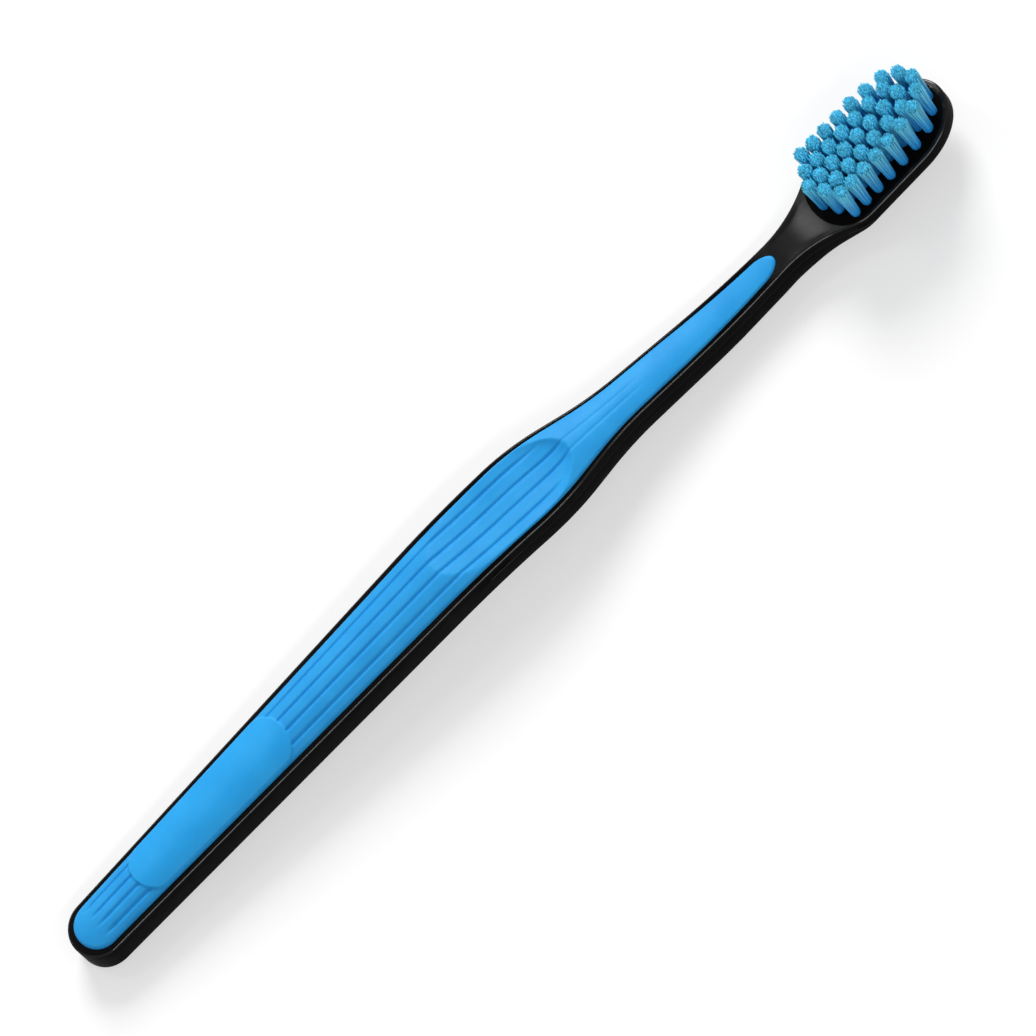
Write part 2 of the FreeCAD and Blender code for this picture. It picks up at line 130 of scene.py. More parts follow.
def rounded_line(corners, rounds):
    """Height (or half width) along X of a line whose inner corners are rounded by tangent arcs."""
    arcs = []
    for (x0, z0), (x1, z1), (x2, z2), radius in zip(corners, corners[1:], corners[2:], rounds):
        before = math.atan2(z1 - z0, x1 - x0)
        after = math.atan2(z2 - z1, x2 - x1)
        cut = radius * abs(math.tan((after - before) / 2))
        side = 1 if after > before else -1
        start = (x1 - cut * math.cos(before), z1 - cut * math.sin(before))
        centre = (start[0] - side * radius * math.sin(before), start[1] + side * radius * math.cos(before))
        arcs.append((start[0], x1 + cut * math.cos(after), centre, radius, side))

    def height(x):
        for start, end, centre, radius, side in arcs:
            if start <= x <= end:
                return centre[1] - side * math.sqrt(radius ** 2 - (x - centre[0]) ** 2)
        for (x0, z0), (x1, z1) in zip(corners, corners[1:]):
            if x <= x1:
                break
        return z0 + (z1 - z0) * (x - x0) / (x1 - x0)

    return height


def lifted(corners, lift):
    """The same corners, each moved up by its own lift."""
    return [(x, z + up) for (x, z), up in zip(corners, lift)]


def half_outline(tail_x, tail_radius, corners, rounds, tip_length):
    """Half of a plan outline as (x, y, normal x, normal y), tail to tip, and its half width along X."""
    centre_x = tail_x + tail_radius
    reach = Vector((corners[0][0] - centre_x, corners[0][1]))
    leave = math.atan2(reach.y, reach.x) + math.acos(tail_radius / reach.length)
    leave_point = (centre_x + tail_radius * math.cos(leave), tail_radius * math.sin(leave))
    side = rounded_line([leave_point] + corners, rounds)
    tip_x, tip_half = corners[-1]
    rail = []
    for i in range(END_STEPS):
        angle = math.pi + (leave - math.pi) * i / END_STEPS
        normal = (math.cos(angle), math.sin(angle))
        rail.append((centre_x + tail_radius * normal[0], tail_radius * normal[1], *normal))
    side_steps = round((tip_x - leave_point[0]) / SIDE_STEP)
    for i in range(side_steps):
        x = leave_point[0] + (tip_x - leave_point[0]) * i / side_steps
        slope = (side(x + NUDGE) - side(x - NUDGE)) / (2 * NUDGE)
        normal = Vector((-slope, 1)).normalized()
        rail.append((x, side(x), normal.x, normal.y))
    for i in range(END_STEPS + 1):
        angle = math.pi / 2 * (1 - i / END_STEPS)
        normal = Vector((tip_half * math.cos(angle), tip_length * math.sin(angle))).normalized()
        point = (tip_x + tip_length * math.cos(angle), tip_half * math.sin(angle))
        rail.append((*point, normal.x, normal.y))
    rail[0] = (tail_x, 0.0, -1.0, 0.0)
    rail[-1] = (tip_x + tip_length, 0.0, 1.0, 0.0)
    return rail, side


def to_frame(x, y, z):
    """Millimetres from the tail, in the shared frame's metres."""
    return Vector((x - LENGTH / 2, y, z)) * MM


def new_ring(mesh, rail, inset, height):
    """Closed ring of points a little inside a half outline and its mirror image."""
    upper = []
    lower = []
    for x, y, normal_x, normal_y in rail:
        gap = inset(x)
        place = (x - normal_x * gap, max(0.0, y - normal_y * gap))
        z = height(*place)
        upper.append(mesh.verts.new(to_frame(*place, z)))
        if 0 < len(upper) - 1 < len(rail) - 1:
            lower.append(mesh.verts.new(to_frame(place[0], -place[1], z)))
    return upper + lower[::-1]


def bridge(mesh, ring, next_ring):
    """Band of faces between two rings."""
    for i in range(len(ring)):
        mesh.faces.new((ring[i - 1], ring[i], next_ring[i], next_ring[i - 1]))


def fill_rows(mesh, rows, across):
    """Faces between rows of points across the brush. An end row may be a single point."""
    for row, next_row in zip(rows, rows[1:]):
        for j in range(across):
            corners = [row[min(j, len(row) - 1)], row[min(j + 1, len(row) - 1)]]
            corners += [next_row[min(j + 1, len(next_row) - 1)], next_row[min(j, len(next_row) - 1)]]
            mesh.faces.new(list(dict.fromkeys(corners)))


def cap(mesh, ring, across, height):
    """Faces that close a ring, in rows across the brush."""
    half = len(ring) // 2 + 1
    rows = []
    for i in range(half):
        if i in (0, half - 1):
            rows.append([ring[i]])
            continue
        near, far = ring[i], ring[-i]
        row = [near]
        for j in range(1, across):
            point = near.co.lerp(far.co, j / across)
            point.z = height(point.x / MM + LENGTH / 2, point.y / MM) * MM
            row.append(mesh.verts.new(point))
        rows.append(row + [far])
    fill_rows(mesh, rows, across)


def new_piece(name, mesh, sharp_degrees=SHARP_DEGREES):
    """Object from a finished mesh, smooth but for its sharp edges."""
    bmesh.ops.recalc_face_normals(mesh, faces=mesh.faces)
    data = bpy.data.meshes.new(name)
    mesh.to_mesh(data)
    mesh.free()
    data.shade_smooth()
    data.set_sharp_from_angle(angle=math.radians(sharp_degrees))
    piece = bpy.data.objects.new(name, data)
    bpy.context.collection.objects.link(piece)
    return piece


def carve(piece, tool, operation, sharp_degrees=SHARP_DEGREES):
    """Cuts a tool out of a piece, or joins it on, and removes the tool."""
    modifier = piece.modifiers.new("carve", "BOOLEAN")
    modifier.operation = operation
    modifier.object = tool
    graph = bpy.context.evaluated_depsgraph_get()
    carved = bpy.data.meshes.new_from_object(piece.evaluated_get(graph))
    piece.modifiers.clear()
    piece.data = carved
    carved.shade_smooth()
    carved.set_sharp_from_angle(angle=math.radians(sharp_degrees))
    bpy.data.objects.remove(tool)


rim_corners = [(0, TAIL_RIM_HEIGHT), (CREST_X, CREST_HEIGHT), (DIP_X, DIP_HEIGHT), (LENGTH, TOE_RIM_HEIGHT)]
rim_line = rounded_line(rim_corners, [CREST_ROUND, DIP_ROUND])


def face_line(x):
    """Height of the straight face of the head, also where the rim line leaves it."""
    return DIP_HEIGHT + math.tan(HEAD_SLOPE) * (x - DIP_X)


back_corners = rim_corners[:3] + [
    (RAMP_START_X, face_line(RAMP_START_X)),
    (RAMP_END_X, face_line(RAMP_END_X)),
    (LENGTH, TOE_RIM_HEIGHT),
]
back_drops = [-TAIL_THICKNESS, -CREST_THICKNESS, -NECK_THICKNESS, -NECK_THICKNESS]
back_drops += [-HEAD_THICKNESS, -HEAD_THICKNESS]
back_line = rounded_line(
    lifted(back_corners, back_drops), [CREST_ROUND, DIP_ROUND, RAMP_ROUND, RAMP_ROUND]
)


def rim_top(x):
    """The rim line with the slight lip at the toe."""
    share = max(0.0, 1 - (LENGTH - x) / TOE_LIP_LENGTH)
    return rim_line(x) + TOE_LIP * share ** 2


def front_height(x, y):
    """Front between the rims: level across, with a shallow scoop in the neck before the head."""
    along = min(1.0, max(0.0, (x - SCOOP_START_X) / (SCOOP_END_X - SCOOP_START_X)))
    if along in (0.0, 1.0):
        return rim_top(x)
    across = min(1.0, abs(y) / (body_half(x) - RIM_BEVEL_WIDTH))
    return rim_line(x) - SCOOP_DEPTH * math.sin(math.pi * along) ** 2 * (1 - across ** SCOOP_EDGE_POWER)


def back_height(x, y):
    """Crowned back, flat where it rests on the table."""
    return max(0.0, back_line(x) + y ** 2 / (2 * BACK_CROWN_RADIUS))


def seam_step(x):
    """The seam shows from the thumb to the head and runs out at both ends."""
    return SEAM_STEP * smooth(x, *SEAM_FADE_IN) * (1 - smooth(x, *SEAM_FADE_OUT))


body_rail, body_half = half_outline(
    0,
    TAIL_RADIUS,
    [(THUMB_X, THUMB_HALF), (NECK_START_X, NECK_START_HALF), (NECK_END_X, NECK_END_HALF),
     (HEAD_START_X, HEAD_HALF), (TOE_START_X, HEAD_HALF)],
    [THUMB_ROUND, NECK_START_ROUND, HEEL_ROUND, HEAD_ROUND],
    LENGTH - TOE_START_X,
)

shell = bmesh.new()
rings = []
for inset, drop in RIM_PROFILE:
    rings.append(new_ring(
        shell,
        body_rail,
        lambda x: RIM_BEVEL_WIDTH * inset + seam_step(x),
        lambda x, y: rim_top(x) - RIM_BEVEL_DROP * drop,
    ))
for stand_in, drop in SEAM_PROFILE:
    rings.append(new_ring(
        shell,
        body_rail,
        lambda x: stand_in * seam_step(x),
        lambda x, y: rim_line(x) - (SEAM_DROP + drop),
    ))
for i in range(BACK_ROUND_STEPS + 1):
    turn = math.pi / 2 * i / BACK_ROUND_STEPS
    rings.append(new_ring(
        shell,
        body_rail,
        lambda x: BACK_ROUND * (1 - math.cos(turn)),
        lambda x, y: back_height(x, y) + BACK_ROUND * (1 - math.sin(turn)),
    ))
for ring, next_ring in zip(rings, rings[1:]):
    bridge(shell, ring, next_ring)
cap(shell, rings[0], FRONT_COLUMNS, front_height)
cap(shell, rings[-1], BACK_COLUMNS, back_height)
handle = new_piece("handle_moulding", shell)

# Tuft field: the low flat plateau on the head's face, and one blind hole in it for each tuft.
# Both are part of the black moulding, so the plateau is joined to it and the holes are cut out of it.
PLATEAU_RISE = 0.3
PLATEAU_INSET = 0.7
PLATEAU_HEEL_LENGTH = 5.0
PLATEAU_HEEL_X = NECK_END_X + 4.4
PLATEAU_HEEL_RAMP = 2.2
PLATEAU_BEVEL = 0.25
PLATEAU_SHOULDER = 0.3        # share of the bevel at which it bends
PLATEAU_HEEL_SHOULDER = 0.6
PLATEAU_SUNK = 1.0
PLATEAU_STEPS = 96
HOLE_RADIUS = 0.86
HOLE_DEPTH = 2.8
HOLE_SIDES = 20
DRILL_OVERRUN = 1.0
head_place = Matrix.Translation(to_frame(DIP_X, 0, DIP_HEIGHT)) @ Matrix.Rotation(-HEAD_SLOPE, 4, "Y")
TUFT_LEAN = math.radians(4.5)     # the tufts lean from the sloping face towards the toe
tuft_turn = Matrix.Rotation(TUFT_LEAN - HEAD_SLOPE, 4, "Y")
tuft_axis = tuft_turn.to_3x3() @ Vector((0, 0, 1))
tuft_names = sorted(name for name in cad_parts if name.startswith("tuft_row"))


def tuft_ends(name):
    """Foot and tip of a tuft's middle line, from its solid in the frame."""
    points = [vertex.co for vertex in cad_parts[name].data.vertices]
    heights = [point.dot(tuft_axis) for point in points]
    near = 0.05 * MM
    foot = [p for p, h in zip(points, heights) if h < min(heights) + near]
    tip = [p for p, h in zip(points, heights) if h > max(heights) - near]
    return sum(foot, Vector()) / len(foot), sum(tip, Vector()) / len(tip)


def plateau_ring(mesh, inset, heel_inset, z):
    """Ring round the plateau in the head's own frame: straight sides, elliptical heel and toe."""
    half = HEAD_HALF - PLATEAU_INSET - inset
    heel = PLATEAU_HEEL_X + PLATEAU_HEEL_LENGTH - DIP_X
    toe = TOE_START_X - DIP_X
    ring = []
    for i in range(PLATEAU_STEPS):
        angle = 2 * math.pi * (i + 0.5) / PLATEAU_STEPS
        towards_toe = math.cos(angle) > 0
        length = PLATEAU_HEEL_LENGTH - heel_inset
        if towards_toe:
            length = LENGTH - TOE_START_X - PLATEAU_INSET - inset
        middle = toe if towards_toe else heel
        point = Vector((middle + length * math.cos(angle), half * math.sin(angle), z)) * MM
        ring.append(mesh.verts.new(head_place @ point))
    return ring


def close_tube(mesh, rings):
    """Bands of faces between rings, and one face at each end."""
    for ring, next_ring in zip(rings, rings[1:]):
        bridge(mesh, ring, next_ring)
    mesh.faces.new(rings[0])
    mesh.faces.new(rings[-1])


raised = bmesh.new()
close_tube(raised, [
    plateau_ring(raised, 0, 0, -PLATEAU_SUNK),
    plateau_ring(raised, 0, 0, PLATEAU_RISE - PLATEAU_BEVEL),
    plateau_ring(
        raised,
        PLATEAU_BEVEL * PLATEAU_SHOULDER,
        PLATEAU_HEEL_RAMP * PLATEAU_HEEL_SHOULDER,
        PLATEAU_RISE - PLATEAU_BEVEL * PLATEAU_SHOULDER,
    ),
    plateau_ring(raised, PLATEAU_BEVEL, PLATEAU_HEEL_RAMP, PLATEAU_RISE),
])
carve(handle, new_piece("plateau", raised), "UNION")

drills = bmesh.new()
for name in tuft_names:
    foot, tip = tuft_ends(name)
    middle = foot + tuft_axis * ((HOLE_DEPTH + DRILL_OVERRUN) / 2) * MM
    bmesh.ops.create_cone(
        drills,
        cap_ends=True,
        segments=HOLE_SIDES,
        radius1=HOLE_RADIUS * MM,
        radius2=HOLE_RADIUS * MM,
        depth=(HOLE_DEPTH + DRILL_OVERRUN) * MM,
        matrix=Matrix.Translation(middle) @ tuft_turn,
    )
carve(handle, new_piece("drills", drills), "DIFFERENCE")

# Pocket for the grip: the shallow bed in the front of the handle, with a narrow black rim left round it.
# Both pieces share one outline, so the grip's is drawn here. Then the moulding gets its black finishes.
RIM = 1.0
NECK_RIM = 0.8
TAIL_RIM = 1.35
TONGUE_TIP_X = 153.0
TONGUE_TIP_LENGTH = 4.0
TONGUE_TIP_HALF = 1.95
TONGUE_TAPER_LENGTH = 18.0
BED_COLUMNS = 2
POLISH_FADE = 3.0              # past the grip's tip, where the front's polish is full
SIDE_NORMAL = 0.3              # upward part of the normal, less than this on a side
FLAT_NORMAL = 0.95             # and more than this on a flat front
PATCH_EDGES = (0.35, 0.65)     # of a noise, for soft patches
NOISE_SPREAD = (0.3, 0.7)      # of a noise, for its full range
BLACKS = ((0.002, 0.002, 0.0022), (0.0036, 0.0035, 0.0035))
BLACK_PATCH_SCALE = 120
BLACK_ROUGH_SCALE = 700
BLACK_FINISHES = (             # name, least and most roughness, gloss beside the grip and on the neck
    ("black_matte_sides", 0.4, 0.5, 0.01, 0.01),
    ("black_polished_front", 0.24, 0.27, 0.02, 0.38),
    ("black_polished_edge", 0.12, 0.15, 0.5, 0.5),
)
MATTE_SIDES, POLISHED_FRONT, POLISHED_EDGE = range(3)
tongue_x = TONGUE_TIP_X - TONGUE_TIP_LENGTH
taper_x = tongue_x - TONGUE_TAPER_LENGTH
grip_rail, grip_half = half_outline(
    TAIL_RIM,
    TAIL_RADIUS - RIM,
    [(THUMB_X, THUMB_HALF - RIM), (NECK_START_X, NECK_START_HALF - NECK_RIM),
     (taper_x, body_half(taper_x) - NECK_RIM), (tongue_x, TONGUE_TIP_HALF)],
    [THUMB_ROUND, NECK_START_ROUND, NECK_START_ROUND],
    TONGUE_TIP_LENGTH,
)


def pocket_floor(x, y):
    """Height of the bed that the grip is moulded on."""
    return rim_line(x) - POCKET_DEPTH


def above_rim(x, y):
    """Height well clear of the front, where the cut starts."""
    return rim_line(x) + POCKET_DEPTH


bed = bmesh.new()
bed_rings = [new_ring(bed, grip_rail, lambda x: 0.0, level) for level in (pocket_floor, above_rim)]
bridge(bed, *bed_rings)
cap(bed, bed_rings[0], BED_COLUMNS, pocket_floor)
cap(bed, bed_rings[1], BED_COLUMNS, above_rim)
carve(handle, new_piece("bed", bed), "DIFFERENCE")


def new_material(name):
    """Material, its principled shader, and functions that link sockets and add a node with given values."""
    material = bpy.data.materials.new(name)
    material.use_nodes = True
    tree = material.node_tree

    def add(kind, **values):
        node = tree.nodes.new(kind)
        for key, value in values.items():
            if key in node.inputs:
                node.inputs[key].default_value = value
            else:
                setattr(node, key, value)
        return node

    return material, tree.nodes["Principled BSDF"], tree.links.new, add


def mottled(add, link, spot, scale, low, high):
    """Colour that drifts between two shades in soft patches."""
    noise = add("ShaderNodeTexNoise", Scale=scale, Detail=4.0, Roughness=0.6)
    ramp = add("ShaderNodeValToRGB")
    for element, position, colour in zip(ramp.color_ramp.elements, PATCH_EDGES, (low, high)):
        element.position = position
        element.color = (*colour, 1)
    link(spot, noise.inputs["Vector"])
    link(noise.outputs["Fac"], ramp.inputs["Fac"])
    return ramp.outputs["Color"]


def respan(add, link, value, start, end, low, high):
    """Number that runs from low to high while a value runs from start to end."""
    span = add("ShaderNodeMapRange")
    span.inputs["From Min"].default_value = start
    span.inputs["From Max"].default_value = end
    span.inputs["To Min"].default_value = low
    span.inputs["To Max"].default_value = high
    link(value, span.inputs["Value"])
    return span.outputs["Result"]


def uneven(add, link, spot, scale, low, high):
    """Number that drifts between two values in fine patches."""
    noise = add("ShaderNodeTexNoise", Scale=scale, Detail=3.0)
    link(spot, noise.inputs["Vector"])
    return respan(add, link, noise.outputs["Fac"], *NOISE_SPREAD, low, high)


def grain(add, link, spot, scale, strength, distance):
    """Fine bump left by the mould's surface."""
    noise = add("ShaderNodeTexNoise", Scale=scale, Detail=2.0)
    bump = add("ShaderNodeBump", Strength=strength, Distance=distance)
    link(spot, noise.inputs["Vector"])
    link(noise.outputs["Fac"], bump.inputs["Height"])
    return bump.outputs["Normal"]


def fade_along(add, link, spot, start, end, low, high):
    """Number that changes evenly along the brush between two places."""
    parts = add("ShaderNodeSeparateXYZ")
    link(spot, parts.inputs["Vector"])
    start, end = to_frame(start, 0, 0).x, to_frame(end, 0, 0).x
    return respan(add, link, parts.outputs["X"], start, end, low, high)


def black_polypropylene(name, rough_low, rough_high, rim_gloss, neck_gloss):
    """Hard black plastic with its mould's finish. Its gloss can differ beside the grip and on the neck."""
    material, shader, link, add = new_material(name)
    spot = add("ShaderNodeTexCoord").outputs["Object"]
    shades = mottled(add, link, spot, BLACK_PATCH_SCALE, *BLACKS)
    roughness = uneven(add, link, spot, BLACK_ROUGH_SCALE, rough_low, rough_high)
    bump = grain(add, link, spot, scale=2600, strength=0.05, distance=0.00002)
    link(shades, shader.inputs["Base Color"])
    link(roughness, shader.inputs["Roughness"])
    link(bump, shader.inputs["Normal"])
    gloss = fade_along(add, link, spot, tongue_x, TONGUE_TIP_X + POLISH_FADE, rim_gloss, neck_gloss)
    link(gloss, shader.inputs["Specular IOR Level"])
    shader.inputs["IOR"].default_value = 1.49
    return material


handle.data.materials.clear()
for finish in BLACK_FINISHES:
    handle.data.materials.append(black_polypropylene(*finish))
for face in handle.data.polygons:
    middle = face.center / MM + Vector((LENGTH / 2, 0, 0))
    plateau_foot = rim_top(middle.x) + PLATEAU_RISE - PLATEAU_BEVEL
    on_plateau = middle.x > PLATEAU_HEEL_X and middle.z > plateau_foot
    if face.normal.z < SIDE_NORMAL or on_plateau:
        face.material_index = MATTE_SIDES
    elif face.normal.z > FLAT_NORMAL:
        face.material_index = POLISHED_FRONT
    else:
        face.material_index = POLISHED_EDGE
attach(handle, "root")
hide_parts("handle_body")

# Grip: one soft blue elastomer moulding, moulded over the pocket in the handle.
# It is crowned across, with four lengthwise grooves, a smooth raised pad, a hollow thumb rest and a tongue.
CROWN = 2.0
THUMB_CROWN = 1.78
CROWN_TAIL_LENGTH = 10.0
NECK_CROWN = 1.1
TIP_CROWN = 0.55
SHOULDER_START_X = THUMB_X - 2
SHOULDER_END_X = NECK_START_X + 4
GRIP_EDGE_ROUND = 0.35
PAD_START = 14.1
PAD_END = 47.65
PAD_END_LENGTH = 3.8
PAD_RISE = 0.24
PAD_EDGE = 0.3
PAD_OVERLAP = 0.1
REST_X = 95.4
REST_HALF_LENGTH = 14.2
REST_HALF_WIDTH = 6.0
REST_DEPTH = 1.9
REST_TAIL_STEEPNESS = 2
REST_NECK_STEEPNESS = 6
REST_END_ROUND = 0.8         # how much shorter the rest is at its sides
REST_EDGE = 0.5
GROOVE_DEPTH = 0.32
GROOVE_HALF_WIDTH = 0.4
GROOVE_FAINT_SHARE = 0.25    # of the depth, on the neck
GROOVE_SHARPNESS = 2.5
GROOVE_START = 4.6
GROOVE_FADE = 2.5
GROOVE_RUN_OUT = 3 * GROOVE_FADE
INNER_GROOVE = (0.22, THUMB_X + 24)    # share of the half width, and where the groove ends
OUTER_GROOVE = (0.66, THUMB_X + 5)
PAD_STEPS = (PAD_START + 2, PAD_END - 2)    # where the surface steps, and how far the finer mesh reaches
PAD_STEP_REACH = 3
REST_STEPS = (80.5, 110)
REST_STEP_REACH = 4
TINY = 1e-5
FINE_STEP = 0.12
MIDDLE_STEP = 0.25
COARSE_STEP = 0.6
GROOVE_REACH = 0.09          # shares of the half width, for the mesh across
EDGE_SHARE = 0.93
FINE_SHARE = 0.012
COARSE_SHARE = 0.03
GRIP_BLUES = ((0.018, 0.33, 0.77), (0.025, 0.37, 0.82))
GRIP_ROUGHNESS = (0.46, 0.56)
# The pad is the same rubber as the grip: its lighter blues are painted sheen of its smoother finish.
PAD_BLUES_PAINTED_SHEEN = ((0.018, 0.365, 0.83), (0.024, 0.395, 0.87))
PAD_ROUGHNESS = (0.42, 0.5)
BLUE_PATCH_SCALE = 160
BLUE_ROUGH_SCALE = 900
grip_tail_radius = TAIL_RADIUS - RIM
grip_tail_centre = TAIL_RIM + grip_tail_radius

side_line = rounded_line(
    [(0, TAIL_RADIUS), (THUMB_X, THUMB_HALF), (NECK_START_X, NECK_START_HALF), (NECK_END_X, NECK_END_HALF)],
    [THUMB_ROUND, NECK_START_ROUND],
)


def crown_rise(x):
    """Height of the crown over the rim, along the middle."""
    if x < CROWN_TAIL_LENGTH:
        return CROWN * math.sqrt(1 - (1 - x / CROWN_TAIL_LENGTH) ** 2)
    neck = NECK_CROWN + (TIP_CROWN - NECK_CROWN) * (x - NECK_START_X) / (TONGUE_TIP_X - NECK_START_X)
    handle_crown = CROWN + (THUMB_CROWN - CROWN) * smooth(x, PAD_END, CREST_X)
    shoulder = smooth(x, SHOULDER_START_X, SHOULDER_END_X)
    return handle_crown + (min(neck, NECK_CROWN) - handle_crown) * shoulder


def rest_depth(x, y):
    """Depth of the thumb rest: a long hollow that rises gently to the tail and more steeply to the neck."""
    across = min(1.0, abs(y) / REST_HALF_WIDTH)
    half_length = REST_HALF_LENGTH * math.sqrt(1 - REST_END_ROUND * across ** 2)
    along = min(1.0, abs(x - REST_X) / half_length)
    steepness = REST_NECK_STEEPNESS if x > REST_X else REST_TAIL_STEEPNESS
    return REST_DEPTH * (1 - along ** steepness) * (1 - across ** 2)


def edge_gap(x, y, half):
    """Distance in from the grip's outline."""
    if x < grip_tail_centre:
        return grip_tail_radius - math.hypot(x - grip_tail_centre, y)
    if x > tongue_x:
        return TONGUE_TIP_HALF * (1 - math.hypot((x - tongue_x) / TONGUE_TIP_LENGTH, y / TONGUE_TIP_HALF))
    return half - abs(y)


def pad_share(x, y):
    """1 on the pad, 0 off it, with a soft step at its elliptical ends."""
    middle = min(max(x, PAD_START + PAD_END_LENGTH), PAD_END - PAD_END_LENGTH)
    reach = math.hypot((x - middle) / PAD_END_LENGTH, y / (grip_half(middle) + PAD_OVERLAP))
    return smooth((1 - reach) * PAD_END_LENGTH, 0, PAD_EDGE)


def groove_depth(x, share_across, half):
    """Depth of the four grooves at one place."""
    depth = 0.0
    for place, end in (INNER_GROOVE, OUTER_GROOVE):
        off = (abs(share_across) - place) * half / GROOVE_HALF_WIDTH
        fade = smooth(x, GROOVE_START, GROOVE_START + GROOVE_FADE)
        fade *= 1 - smooth(x, end - GROOVE_RUN_OUT, end)
        depth += GROOVE_DEPTH * math.exp(-off * off * GROOVE_SHARPNESS) * fade
    rest_end = REST_X + REST_HALF_LENGTH
    return depth * (1 - (1 - GROOVE_FAINT_SHARE) * smooth(x, rest_end - GROOVE_FADE, rest_end + REST_EDGE))


def grip_height(x, share_across, half):
    """Height of the grip's finished surface at a share of its half width."""
    y = share_across * half
    z = rim_line(x) + crown_rise(x) * (1 - (y / side_line(x)) ** 2) - rest_depth(x, y)
    on_pad = pad_share(x, y)
    z += PAD_RISE * on_pad - groove_depth(x, share_across, half) * (1 - on_pad)
    gap = min(GRIP_EDGE_ROUND, max(0.0, edge_gap(x, y, half)))
    drop = GRIP_EDGE_ROUND - math.sqrt(GRIP_EDGE_ROUND ** 2 - (GRIP_EDGE_ROUND - gap) ** 2)
    return max(z - drop, rim_line(x) - GRIP_EDGE_ROUND)


def grip_stations():
    """Places along the grip, closer together at its ends, at the ends of the pad and round the thumb rest."""
    places = [point[0] for point in grip_rail if point[0] < TAIL_RIM + TAIL_RADIUS]
    x = places[-1]
    while x < tongue_x:
        near_pad_step = min(abs(x - place) for place in PAD_STEPS) < PAD_STEP_REACH
        near_rest_step = min(abs(x - place) for place in REST_STEPS) < REST_STEP_REACH
        x += FINE_STEP if near_pad_step else MIDDLE_STEP if near_rest_step else COARSE_STEP
        places.append(x)
    places[-1] = tongue_x
    return places + [point[0] for point in grip_rail if point[0] > tongue_x + TINY]


def grip_half_width(x):
    """Half width of the grip, with its round tail and elliptical tip."""
    tail_end_x = grip_rail[END_STEPS][0]
    if x < tail_end_x:
        return math.sqrt(max(0.0, grip_tail_radius ** 2 - (x - grip_tail_centre) ** 2))
    if x > tongue_x:
        return TONGUE_TIP_HALF * math.sqrt(max(0.0, 1 - ((x - tongue_x) / TONGUE_TIP_LENGTH) ** 2))
    return grip_half(x)


def grip_shares():
    """Places across the grip as shares of its half width, closer together at grooves and edges."""
    shares = [0.0]
    while shares[-1] < 1:
        last = shares[-1]
        near_groove = min(abs(last - INNER_GROOVE[0]), abs(last - OUTER_GROOVE[0])) < GROOVE_REACH
        shares.append(last + (FINE_SHARE if near_groove or last > EDGE_SHARE else COARSE_SHARE))
    shares[-1] = 1.0
    return [-share for share in reversed(shares[1:])] + shares


skin = bmesh.new()
rows = []
floor_rows = []
for x in grip_stations():
    half = grip_half_width(x)
    low = rim_line(x) - POCKET_DEPTH
    if half < TINY:
        rows.append([skin.verts.new(to_frame(x, 0, rim_line(x) - GRIP_EDGE_ROUND))])
        floor_rows.append([skin.verts.new(to_frame(x, 0, low))])
        continue
    row = [skin.verts.new(to_frame(x, s * half, grip_height(x, s, half))) for s in grip_shares()]
    rows.append(row)
    floor_rows.append([skin.verts.new(to_frame(x, s * half, low)) for s in (-1, 1)])
fill_rows(skin, rows, len(grip_shares()) - 1)
for i in range(len(rows) - 1):
    low, next_low = floor_rows[i], floor_rows[i + 1]
    skin.faces.new(list(dict.fromkeys([low[0], low[-1], next_low[-1], next_low[0]])))
    for side in (0, -1):
        wall = [rows[i][side], rows[i + 1][side], next_low[side], low[side]]
        skin.faces.new(list(dict.fromkeys(wall)))
grip = new_piece("grip_moulding", skin, sharp_degrees=50)


def blue_elastomer(name, low, high, rough_low, rough_high):
    """Soft blue moulding rubber, between two shades."""
    material, shader, link, add = new_material(name)
    spot = add("ShaderNodeTexCoord").outputs["Object"]
    shades = mottled(add, link, spot, BLUE_PATCH_SCALE, low, high)
    roughness = uneven(add, link, spot, BLUE_ROUGH_SCALE, rough_low, rough_high)
    bump = grain(add, link, spot, scale=3500, strength=0.08, distance=0.00003)
    link(shades, shader.inputs["Base Color"])
    link(roughness, shader.inputs["Roughness"])
    link(bump, shader.inputs["Normal"])
    shader.inputs["IOR"].default_value = 1.48
    shader.inputs["Specular IOR Level"].default_value = 0.18
    return material


grip.data.materials.append(blue_elastomer("blue_elastomer", *GRIP_BLUES, *GRIP_ROUGHNESS))
grip.data.materials.append(blue_elastomer("blue_elastomer_pad_painted_sheen", *PAD_BLUES_PAINTED_SHEEN, *PAD_ROUGHNESS))
# Faces of the pad get the lighter blue of painted sheen, and the smoother roughness.
for face in grip.data.polygons:
    middle = face.center / MM
    on_pad = face.normal.z > SIDE_NORMAL and pad_share(middle.x + LENGTH / 2, middle.y) > 0.5
    face.material_index = 1 if on_pad else 0
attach(grip, "root")
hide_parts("grip")

# Tuft anchors: small plates of drawn brass, pressed into the holes across the folded tufts.
# They stay as the frame has them, hidden in the holes.
BRASSES = ((0.5, 0.34, 0.11), (0.62, 0.44, 0.16))
BRASS_PATCH_SCALE = 2500
BRASS_ROUGH_SCALE = 6000
BRASS_ROUGHNESS = (0.25, 0.4)
drawn_brass, shader, link, add = new_material("drawn_brass")
spot = add("ShaderNodeTexCoord").outputs["Object"]
link(mottled(add, link, spot, BRASS_PATCH_SCALE, *BRASSES), shader.inputs["Base Color"])
link(uneven(add, link, spot, BRASS_ROUGH_SCALE, *BRASS_ROUGHNESS), shader.inputs["Roughness"])
shader.inputs["Metallic"].default_value = 1.0
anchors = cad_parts["tuft_anchors"]
anchors.data.materials.clear()
anchors.data.materials.append(drawn_brass)

